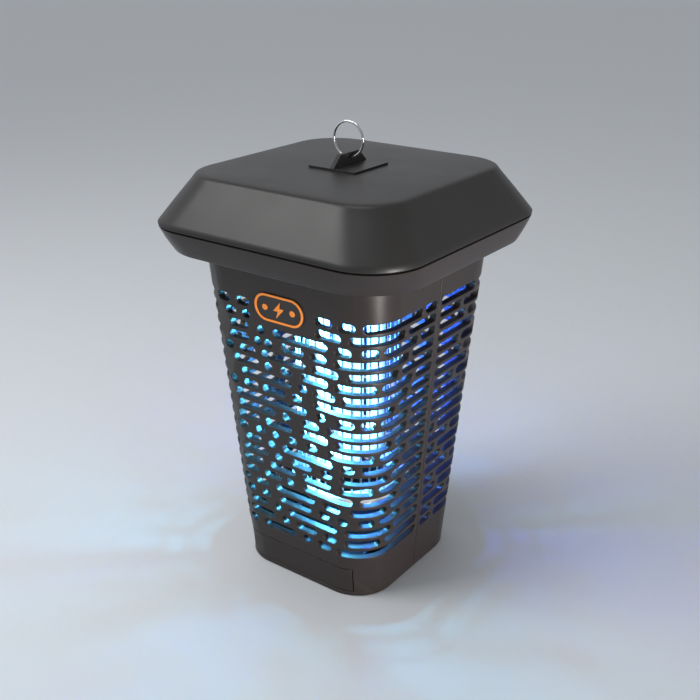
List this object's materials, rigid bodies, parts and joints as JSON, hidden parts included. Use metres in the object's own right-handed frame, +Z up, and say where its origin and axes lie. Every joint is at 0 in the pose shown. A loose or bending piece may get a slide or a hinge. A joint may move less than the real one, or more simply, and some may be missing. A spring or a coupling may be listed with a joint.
{
  "type": "electric bug zapper",
  "caption": "Tapered square lantern with a slotted grille, a lamp inside a wire cage, a pull-out catch drawer, a sloped roof and a hanging ring.",
  "frame": {"origin": "centre of the flat underside of the base", "axes": "+Z up towards the hanging ring, -Y towards the catch drawer and the plaque, +X to the right of the drawer"},
  "size_m": [0.23, 0.23, 0.3684],
  "materials": {
    "roof_plastic": "fine texture, satin",
    "body_plastic": "fine texture, satin",
    "drawer_plastic": "fine texture, satin",
    "seal_rubber": "matte",
    "ring_wire": "polished",
    "screw_steel": "zinc plated",
    "plaque_black": "satin",
    "emblem_orange": "gloss",
    "chassis_steel": "zinc plated sheet",
    "holder_plastic": "gloss",
    "lamp_base_plastic": "gloss",
    "lamp_glass": "coated inside, glowing blue-white in use",
    "insulator_plastic": "satin",
    "cage_wire": "bright drawn wire",
    "bus_steel": "zinc plated",
    "board_laminate": "satin",
    "core_iron": "varnished",
    "capacitor_film": "gloss",
    "terminal_plastic": "gloss",
    "lead_rubber": "satin",
    "gland_plastic": "satin"
  },
  "bodies": {
    "housing": {"roof_cap": "roof_plastic", "roof_seal": "seal_rubber", "collar": "body_plastic", "front_grille": "body_plastic", "rear_grille": "body_plastic", "base_plate": "drawer_plastic", "hanger_bracket": "roof_plastic", "hanger_screws": "screw_steel", "plaque": "plaque_black", "emblem": "emblem_orange", "chassis_plate": "chassis_steel", "lampholder": "holder_plastic", "lamp_base": "lamp_base_plastic", "lamp_tubes": "lamp_glass", "upper_insulator": "insulator_plastic", "lower_insulator": "insulator_plastic", "cage_rods": "insulator_plastic", "live_wires": "cage_wire", "return_wires": "cage_wire", "live_bus": "bus_steel", "return_bus": "bus_steel", "circuit_board": "board_laminate", "board_spacers": "insulator_plastic", "transformer": "core_iron", "capacitors": "capacitor_film", "terminal_block": "terminal_plastic", "leads": "lead_rubber", "cord_gland": "gland_plastic", "gland_nut": "gland_plastic", "roof_screws": "screw_steel", "shell_screws": "screw_steel", "seam_screws": "screw_steel", "base_screws": "screw_steel", "chassis_screws": "screw_steel", "board_screws": "screw_steel"},
    "tray": {"catch_tray": "drawer_plastic"},
    "ring": {"hang_ring": "ring_wire"}
  },
  "joints": [
    {"name": "tray_slide", "type": "slide", "parent": "housing", "child": "tray", "axis": [0, -1, 0], "range_m": [0, 0.1]},
    {"name": "ring_swing", "type": "hinge", "parent": "housing", "child": "ring", "pos_m": [0, 0, 0.3405], "axis": [1, 0, 0], "range_deg": [-85, 85]}
  ]
}
